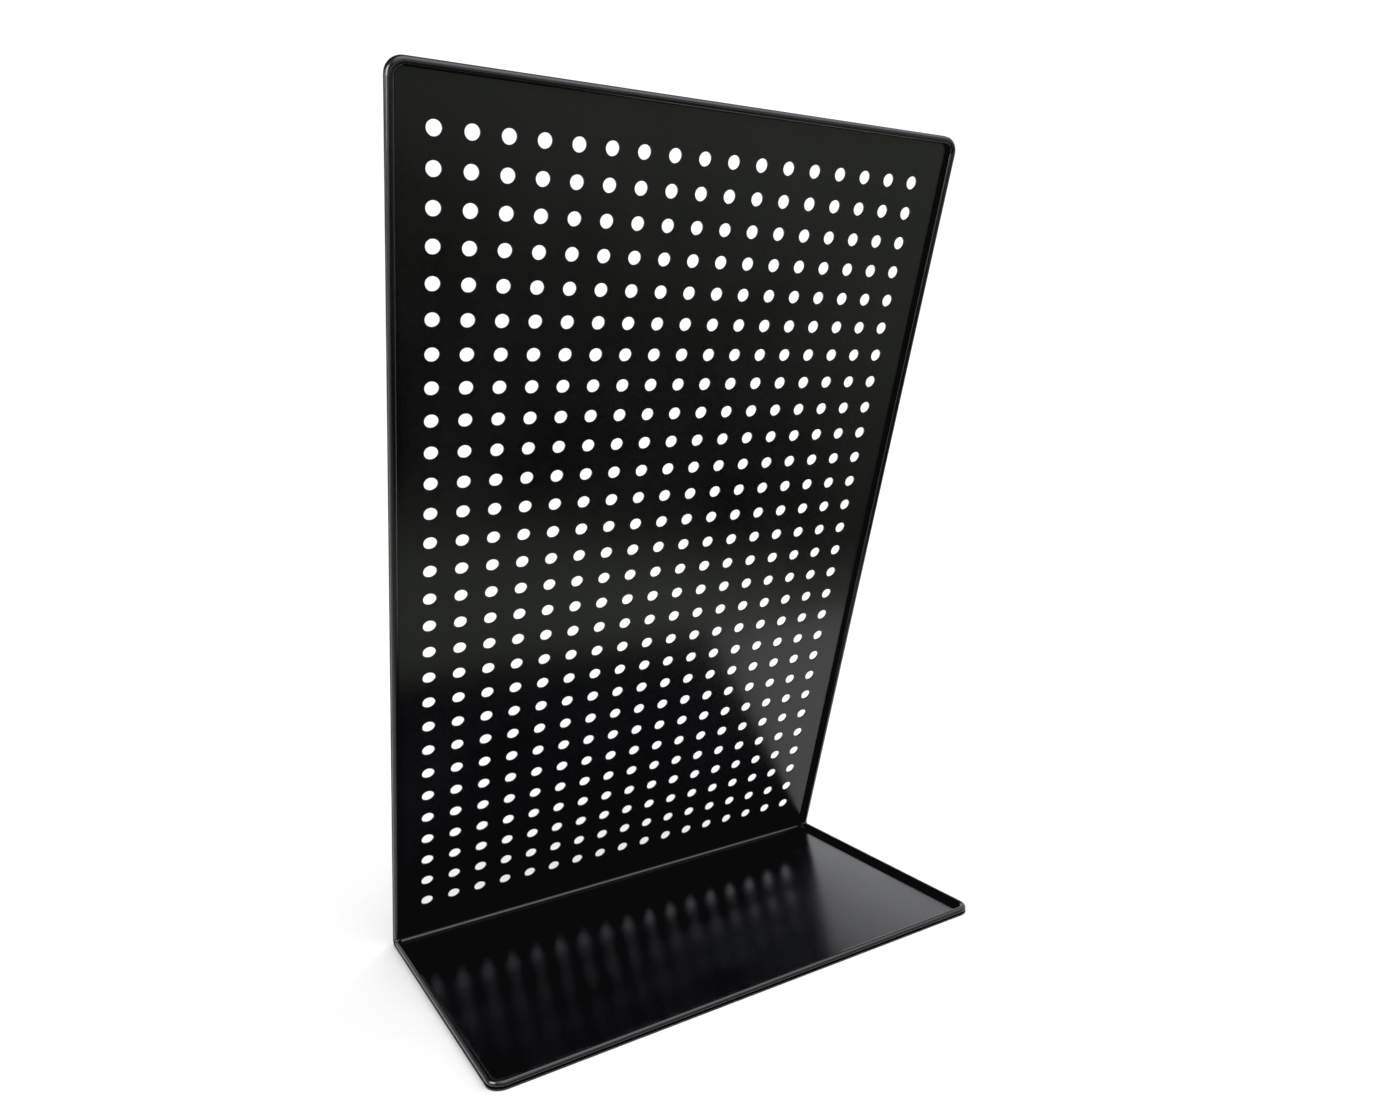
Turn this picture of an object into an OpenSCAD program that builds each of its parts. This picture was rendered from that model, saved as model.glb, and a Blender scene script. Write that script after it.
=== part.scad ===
// Free-standing pegboard stand: one steel sheet, folded into a perforated board that leans forward
// over a plain tray, with a round rim wire welded along the whole edge of its inner faces.
// Millimetres. X runs across the stand, -Y is the open front, Z is up.
// The origin lies on the surface the stand rests on, at mid width and mid tray depth.

/* [Hole field] */
// Distance between hole centres, both ways
pitch = 12.7; // [11:0.1:14]
// Diameter of every hole
hole_d = 5.4; // [4:0.1:7]
// Number of hole columns
columns = 17; // [9:1:19]
// Number of hole rows
rows = 28; // [12:1:30]
// Sideways offset of the whole hole field
field_shift = -1.6; // [-4:0.1:4]

/* [Board] */
// Mean distance from the outer hole columns to the side edges
side_margin = 17.4; // [14:0.1:24]
// Distance from the top hole row to the top edge
top_margin = 20.3; // [12:0.1:30]
// Distance from the bottom hole row to the inner corner of the fold
fold_margin = 22.2; // [16:0.1:40]
// Angle by which the board leans forward from upright
lean = 22; // [0:1:30]
// Thickness of the steel sheet
sheet_t = 0.8; // [0.6:0.1:2]
// Radius of the rounded outer corners
corner_r = 6.5; // [5:0.5:15]
// Inside radius of the fold
bend_r = 1.6; // [1:0.1:3]

/* [Tray] */
// Depth of the tray, from the inner corner of the fold to the front edge
tray_depth = 147; // [90:1:180]

/* [Rim wire] */
// Diameter of the rim wire
wire_d = 3; // [2:0.1:3.2]
// Inside radius of the wire where it is bent round the fold
wire_bend = 0.6; // [0.5:0.1:3]
// Depth of the flat that the weld presses into the wire
weld_flat = 0.1; // [0.05:0.05:0.2]

/* [Hidden] */
$fn = 48;

fold_angle = 90 - lean;
bend_angle = 180 - fold_angle;
bend_reach = bend_r / tan(fold_angle / 2);
board_w = (columns - 1) * pitch + 2 * side_margin;
board_l = fold_margin + (rows - 1) * pitch + top_margin;
fold_y = tray_depth / 2;
wire_r = wire_d / 2;
wire_side_x = board_w / 2 - wire_r;
wire_lift = wire_r - weld_flat;
wire_path_r = wire_bend + wire_r;
wire_turn_r = wire_path_r + wire_lift;
wire_reach = wire_turn_r / tan(fold_angle / 2);
// Bending draws the sheet and the wire slightly thinner: loss on each side of the sheet,
// and size of the wire's section in the bend relative to its straight lengths
sheet_thinning = 0.012;
wire_draw = 0.99;
// Length by which straight sheet and wire run on into their bends
tuck = 0.1;

// Flat frames of the two inner faces: +Y runs from the inner corner of the fold to the free edge,
// +Z stands off the face, and the sheet lies below Z = 0.
module on_tray() {
    translate([0, fold_y, sheet_t])
        rotate([0, 0, 180])
            children();
}

module on_board() {
    translate([0, fold_y, sheet_t])
        rotate([bend_angle, 0, 0])
            children();
}

// Frame of a bend of the given radius and reach: Z runs across the stand from its left edge, and
// turning starts at the tray.
module on_fold(radius, reach) {
    translate([-board_w / 2, fold_y - reach, sheet_t + radius])
        rotate([90, 0, 90])
            rotate([0, 0, -90])
                children();
}

// Flat outline of one leg of the sheet, from the end of the fold to the rounded free edge
module leg_outline(reach) {
    translate([-board_w / 2, reach - corner_r])
        mirror([0, 1])
            square([board_w, reach - corner_r - bend_reach + tuck]);
    translate([corner_r - board_w / 2, reach - corner_r])
        square([board_w - 2 * corner_r, corner_r]);
    for (side = [-1, 1])
        translate([side * (board_w / 2 - corner_r), reach - corner_r])
            circle(r = corner_r);
}

module hole_field() {
    for (column = [0 : columns - 1], row = [0 : rows - 1])
        translate([field_shift + (column - (columns - 1) / 2) * pitch, fold_margin + row * pitch])
            circle(d = hole_d);
}

module fold() {
    on_fold(bend_r, bend_reach)
        rotate_extrude(angle = bend_angle)
            translate([bend_r + sheet_thinning, 0])
                square([sheet_t - 2 * sheet_thinning, board_w]);
}

module tray_leg() {
    on_tray()
        translate([0, 0, -sheet_t])
            linear_extrude(sheet_t)
                leg_outline(tray_depth);
}

module board_leg() {
    on_board()
        translate([0, 0, -sheet_t])
            linear_extrude(sheet_t)
                difference() {
                    leg_outline(board_l);
                    hole_field();
                }
}

// Cross-section of the wire: round, with the flat that is welded to the sheet facing -Y
module wire_section() {
    difference() {
        circle(d = wire_d);
        translate([-wire_r, -wire_lift - wire_r])
            square([wire_d, wire_r]);
    }
}

// U of wire along the sides and free edge of one leg
module wire_u(reach) {
    for (side = [-1, 1]) {
        translate([side * wire_side_x, reach - corner_r, wire_lift])
            rotate([90, 0, 0])
                linear_extrude(reach - corner_r - wire_reach + tuck)
                    wire_section();
        translate([side * (board_w / 2 - corner_r), reach - corner_r, wire_lift])
            rotate([0, 0, side > 0 ? 0 : 90])
                rotate_extrude(angle = 90)
                    translate([corner_r - wire_r, 0])
                        wire_section();
    }
    translate([corner_r - board_w / 2, reach - wire_r, wire_lift])
        rotate([90, 0, 90])
            linear_extrude(board_w - 2 * corner_r)
                wire_section();
}

module wire_folds() {
    for (side = [-1, 1])
        on_fold(wire_turn_r, wire_reach)
            translate([0, 0, board_w / 2 + side * wire_side_x])
                rotate_extrude(angle = bend_angle)
                    translate([wire_path_r, 0])
                        rotate(90)
                            scale(wire_draw)
                                wire_section();
}

module board_sheet() {
    color("#1b1c1e") {
        tray_leg();
        fold();
        board_leg();
    }
}

module rim_wire() {
    color("#2a2b2e") {
        on_tray()
            wire_u(tray_depth);
        on_board()
            wire_u(board_l);
        wire_folds();
    }
}

board_sheet();
rim_wire();
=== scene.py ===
import math

import bpy
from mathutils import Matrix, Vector


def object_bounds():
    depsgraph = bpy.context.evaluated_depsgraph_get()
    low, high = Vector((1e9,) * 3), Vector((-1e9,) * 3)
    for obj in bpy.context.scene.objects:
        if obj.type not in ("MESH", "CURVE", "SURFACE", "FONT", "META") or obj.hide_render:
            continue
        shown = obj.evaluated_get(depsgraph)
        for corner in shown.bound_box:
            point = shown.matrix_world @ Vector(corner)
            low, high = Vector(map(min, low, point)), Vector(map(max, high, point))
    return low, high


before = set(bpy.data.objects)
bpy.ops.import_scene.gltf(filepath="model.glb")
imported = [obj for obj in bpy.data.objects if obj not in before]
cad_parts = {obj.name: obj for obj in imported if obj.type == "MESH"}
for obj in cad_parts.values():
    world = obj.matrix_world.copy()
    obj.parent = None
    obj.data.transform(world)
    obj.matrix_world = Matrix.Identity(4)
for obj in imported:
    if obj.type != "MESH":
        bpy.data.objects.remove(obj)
cad_low, cad_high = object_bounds()

# Metres, in the CAD model's frame: X runs across the stand, -Y is its open front, Z is up.

# Powder coat. Noise scales are per metre.
COAT_DARKEST = (0.0036, 0.0037, 0.0043, 1.0)
COAT_LIGHTEST = (0.0066, 0.0067, 0.0075, 1.0)
COAT_IOR = 1.5
PATCH_SCALE = 22.0
GRAIN_SCALE = 900.0
PEEL_SCALE = 620.0
FINE_PEEL_SCALE = 3200.0
PEEL_HEIGHT = 0.00003

# Floor, warm enough to look neutral under the cool light of the room
FLOOR_REACH = 6.0
FLOOR_DARKEST = (0.93, 0.915, 0.89, 1.0)
FLOOR_LIGHTEST = (0.96, 0.945, 0.92, 1.0)

# Glowing card lying in front of the stand, no lamp: it paints the reflection of the room's
# light and shade in the gloss of the coat
CARD_CLEARANCE = 0.001
CARD_LOW = (-0.6, -1.4)
CARD_HIGH = (1.6, cad_low[1] - CARD_CLEARANCE)
CARD_COLOUR = (0.93, 1.0, 0.82, 1.0)

# Room
ROOM_COLOUR = (0.96, 0.975, 1.0, 1.0)
ROOM_DIMMEST = 0.15
SHEET_COLOUR = (1.0, 1.0, 1.0, 1.0)
SHEET_STRENGTH = 1.1

# Window at the left of the stand
WINDOW_PLACE = (-1.10, -0.06, 0.60)
WINDOW_SIDE = 0.7
WINDOW_WATTS = 19.0

# Camera, with the photograph's viewpoint and off-centre framing
CAMERA_PLACE = (-0.21480, -0.43861, 0.23883)
CAMERA_TURN = (79.987, 2.311, -34.208)
CAMERA_SENSOR = 36.0
CAMERA_LENS = 27.445
CAMERA_SHIFT = (-0.0766, 0.0369)
CAMERA_NEAREST = 0.01

# Tone: light up to TONE_CUT is all shown as TONE_DARKEST
TONE_CUT = 0.0100
TONE_DARKEST = 0.003


class Nodes:
    """Builds the node tree of a material or of the world with short calls."""

    def __init__(self, owner):
        owner.use_nodes = True
        self.tree = owner.node_tree
        self.tree.nodes.clear()

    def add(self, kind, inputs=None, **settings):
        node = self.tree.nodes.new(kind)
        for key, value in settings.items():
            setattr(node, key, value)
        for key, value in (inputs or {}).items():
            if hasattr(value, "is_output"):
                self.tree.links.new(value, node.inputs[key])
            else:
                node.inputs[key].default_value = value
        return node

    def noise(self, vector, scale, detail):
        node = self.add(
            "ShaderNodeTexNoise", {"Vector": vector, "Scale": scale, "Detail": detail}
        )
        return node.outputs["Fac"]

    def ramp(self, value, low, high, low_colour, high_colour):
        node = self.add("ShaderNodeValToRGB", {"Fac": value})
        ends = node.color_ramp.elements
        for end, position, colour in ((ends[0], low, low_colour), (ends[1], high, high_colour)):
            end.position = position
            end.color = colour
        return node.outputs["Color"]

    def span(self, value, low, high, to_low, to_high, smooth=False):
        node = self.add(
            "ShaderNodeMapRange",
            {
                "Value": value,
                "From Min": low,
                "From Max": high,
                "To Min": to_low,
                "To Max": to_high,
            },
            interpolation_type="SMOOTHSTEP" if smooth else "LINEAR",
        )
        return node.outputs["Result"]

    def math(self, operation, *values):
        node = self.add("ShaderNodeMath", dict(enumerate(values)), operation=operation)
        return node.outputs[0]

    def xyz(self, vector):
        node = self.add("ShaderNodeSeparateXYZ", {"Vector": vector})
        return [node.outputs[axis] for axis in "XYZ"]

    def place(self):
        return self.add("ShaderNodeTexCoord").outputs["Object"]

    def surface(self, shader):
        self.add("ShaderNodeOutputMaterial", {"Surface": shader})


def powder_coat(name):
    """Semi-gloss black powder coat: fine orange peel, slightly uneven gloss and tone."""
    material = bpy.data.materials.new(name)
    n = Nodes(material)
    place = n.place()
    patches = n.noise(place, PATCH_SCALE, detail=3.0)
    grain = n.noise(place, GRAIN_SCALE, detail=2.0)
    peel = n.noise(place, PEEL_SCALE, detail=1.0)
    fine_peel = n.noise(place, FINE_PEEL_SCALE, detail=1.0)

    tone = n.math("ADD", n.math("MULTIPLY", patches, 0.6), n.math("MULTIPLY", grain, 0.4))
    roughness = n.math(
        "ADD",
        n.span(patches, 0.3, 0.7, 0.17, 0.23),
        n.span(grain, 0.3, 0.7, -0.02, 0.03),
    )
    height = n.math("ADD", peel, n.math("MULTIPLY", fine_peel, 0.25))
    bump = n.add(
        "ShaderNodeBump", {"Height": height, "Strength": 0.10, "Distance": PEEL_HEIGHT}
    )
    shader = n.add(
        "ShaderNodeBsdfPrincipled",
        {
            "Base Color": n.ramp(tone, 0.35, 0.65, COAT_DARKEST, COAT_LIGHTEST),
            "Roughness": roughness,
            "IOR": COAT_IOR,
            "Normal": bump.outputs["Normal"],
        },
    )
    n.surface(shader.outputs["BSDF"])
    return material


def dress(node, material):
    slots = node.material_slots
    if not slots:
        node.data.materials.append(material)
    for slot in slots:
        slot.material = material


def flat_rectangle(name, low, high, height, material):
    """Stage piece that lies level, with its corners at low and high."""
    mesh = bpy.data.meshes.new(name)
    (x0, y0), (x1, y1) = low, high
    mesh.from_pydata(
        [(x0, y0, height), (x1, y0, height), (x1, y1, height), (x0, y1, height)],
        [],
        [(0, 1, 2, 3)],
    )
    mesh.materials.append(material)
    rectangle = bpy.data.objects.new(name, mesh)
    bpy.context.collection.objects.link(rectangle)
    return rectangle


def floor_white():
    material = bpy.data.materials.new("floor_white")
    n = Nodes(material)
    mottle = n.noise(n.place(), 60.0, detail=4.0)
    shader = n.add(
        "ShaderNodeBsdfPrincipled",
        {
            "Base Color": n.ramp(mottle, 0.0, 1.0, FLOOR_DARKEST, FLOOR_LIGHTEST),
            "Roughness": 0.9,
            "Specular IOR Level": 0.0,
        },
    )
    n.surface(shader.outputs["BSDF"])
    return material


def card_glow():
    """Painted reflection: the glow is brightest close to the stand, dimmer further out, and
    brighter again far away.
    """
    material = bpy.data.materials.new("painted_reflection_card")
    n = Nodes(material)
    x, y, _ = n.xyz(n.place())
    closeness = n.math("SUBTRACT", y, n.math("MULTIPLY", x, 0.30))
    brightest = n.math(
        "SUBTRACT", n.span(x, 0.0, 0.10, 0.42, 0.60), n.span(x, 0.10, 0.20, 0.0, 0.16)
    )
    near = n.math(
        "MULTIPLY", n.span(closeness, -0.23, -0.13, 0.0, 1.0, smooth=True), brightest
    )
    outward = n.math("SUBTRACT", n.math("MULTIPLY", x, 0.45), y)
    far = n.span(outward, 0.28, 0.95, 0.13, 0.50, smooth=True)
    # Lighter strip that the right edge of the board mirrors, along the middle of its height
    rightward = n.math("ADD", x, n.math("MULTIPLY", y, 0.55))
    off_middle = n.math("ABSOLUTE", n.math("ADD", y, 0.29))
    strip = n.math(
        "MULTIPLY",
        n.span(rightward, 0.14, 0.19, 0.0, 0.15, smooth=True),
        n.span(off_middle, 0.10, 0.18, 1.0, 0.0, smooth=True),
    )
    strength = n.math("ADD", n.math("ADD", near, far), strip)
    glow = n.add("ShaderNodeEmission", {"Color": CARD_COLOUR, "Strength": strength})
    n.surface(glow.outputs["Emission"])
    return material


def painted_reflection_card():
    """Glowing card lying in front of the stand, no lamp, seen only in the gloss of the coat as
    a painted reflection.
    """
    card = flat_rectangle("painted_reflection_card", CARD_LOW, CARD_HIGH, CARD_CLEARANCE, card_glow())
    card.visible_camera = False
    card.visible_diffuse = False
    card.visible_shadow = False
    card.visible_transmission = False


def studio_world():
    """Soft light of a pale room, seen directly as a plain white sheet."""
    world = bpy.data.worlds.new("studio")
    bpy.context.scene.world = world
    n = Nodes(world)
    x, y, z = n.xyz(n.add("ShaderNodeTexCoord").outputs["Generated"])
    # Pale wall behind the stand, greyer towards the front and at the far left
    behind = n.math("ADD", y, n.math("MULTIPLY", z, 0.9))
    wall = n.math(
        "MULTIPLY",
        n.span(behind, -0.45, 0.10, 0.60, 1.60, smooth=True),
        n.span(x, -0.50, -0.12, 0.25, 1.0, smooth=True),
    )
    # The wall ends a little above the stand, where the dark part of the room begins
    height = n.math("SUBTRACT", z, n.span(x, 0.48, 0.58, 0.0, 0.08, smooth=True))
    above = n.math(
        "MULTIPLY",
        n.span(height, 0.38, 0.42, 0.0, -1.40, smooth=True),
        n.span(y, 0.0, 0.4, 0.0, 1.0, smooth=True),
    )
    # Wide soft light overhead, towards the front
    front_up = n.math("SUBTRACT", z, n.math("MULTIPLY", y, 0.8))
    overhead = n.span(front_up, 0.85, 1.20, 0.0, 1.7, smooth=True)
    sides = n.math("MAXIMUM", n.math("ADD", wall, above), ROOM_DIMMEST)
    room = n.add(
        "ShaderNodeBackground",
        {"Color": ROOM_COLOUR, "Strength": n.math("ADD", sides, overhead)},
    )
    sheet = n.add("ShaderNodeBackground", {"Color": SHEET_COLOUR, "Strength": SHEET_STRENGTH})
    seen = n.add("ShaderNodeLightPath").outputs["Is Camera Ray"]
    mix = n.add(
        "ShaderNodeMixShader",
        {0: seen, 1: room.outputs["Background"], 2: sheet.outputs["Background"]},
    )
    n.add("ShaderNodeOutputWorld", {"Surface": mix.outputs["Shader"]})


def left_window():
    """Window seen only in the gloss of the coat, where it lights the edges of the rim."""
    light = bpy.data.lights.new("left_window", "AREA")
    light.size = WINDOW_SIDE
    light.energy = WINDOW_WATTS
    lamp = bpy.data.objects.new("left_window", light)
    bpy.context.collection.objects.link(lamp)
    middle = (Vector(cad_low) + Vector(cad_high)) / 2
    lamp.location = WINDOW_PLACE
    lamp.rotation_euler = (middle - lamp.location).to_track_quat("-Z", "Y").to_euler()
    lamp.visible_camera = False
    lamp.visible_diffuse = False


def photograph_camera():
    lens = bpy.data.cameras.new("camera")
    lens.sensor_width = CAMERA_SENSOR
    lens.lens = CAMERA_LENS
    lens.shift_x, lens.shift_y = CAMERA_SHIFT
    lens.clip_start = CAMERA_NEAREST
    camera = bpy.data.objects.new("camera", lens)
    bpy.context.collection.objects.link(camera)
    camera.location = CAMERA_PLACE
    camera.rotation_euler = [math.radians(angle) for angle in CAMERA_TURN]
    bpy.context.scene.camera = camera


def photograph_tone():
    """The photograph is exposed for its white surroundings, so its blacks are cut off."""
    view = bpy.context.scene.view_settings
    view.view_transform = "Standard"
    view.use_curve_mapping = True
    tone = view.curve_mapping
    tone.black_level = (TONE_CUT,) * 3
    tone.extend = "HORIZONTAL"
    tone.curves[3].points[0].location = (0.0, TONE_DARKEST)
    tone.update()


dress(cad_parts["board_sheet"], powder_coat("sheet_powder_coat"))
dress(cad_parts["rim_wire"], powder_coat("wire_powder_coat"))
flat_rectangle(
    "floor", (-FLOOR_REACH, -FLOOR_REACH), (FLOOR_REACH, FLOOR_REACH), 0.0, floor_white()
)
painted_reflection_card()
studio_world()
left_window()
photograph_camera()
photograph_tone()
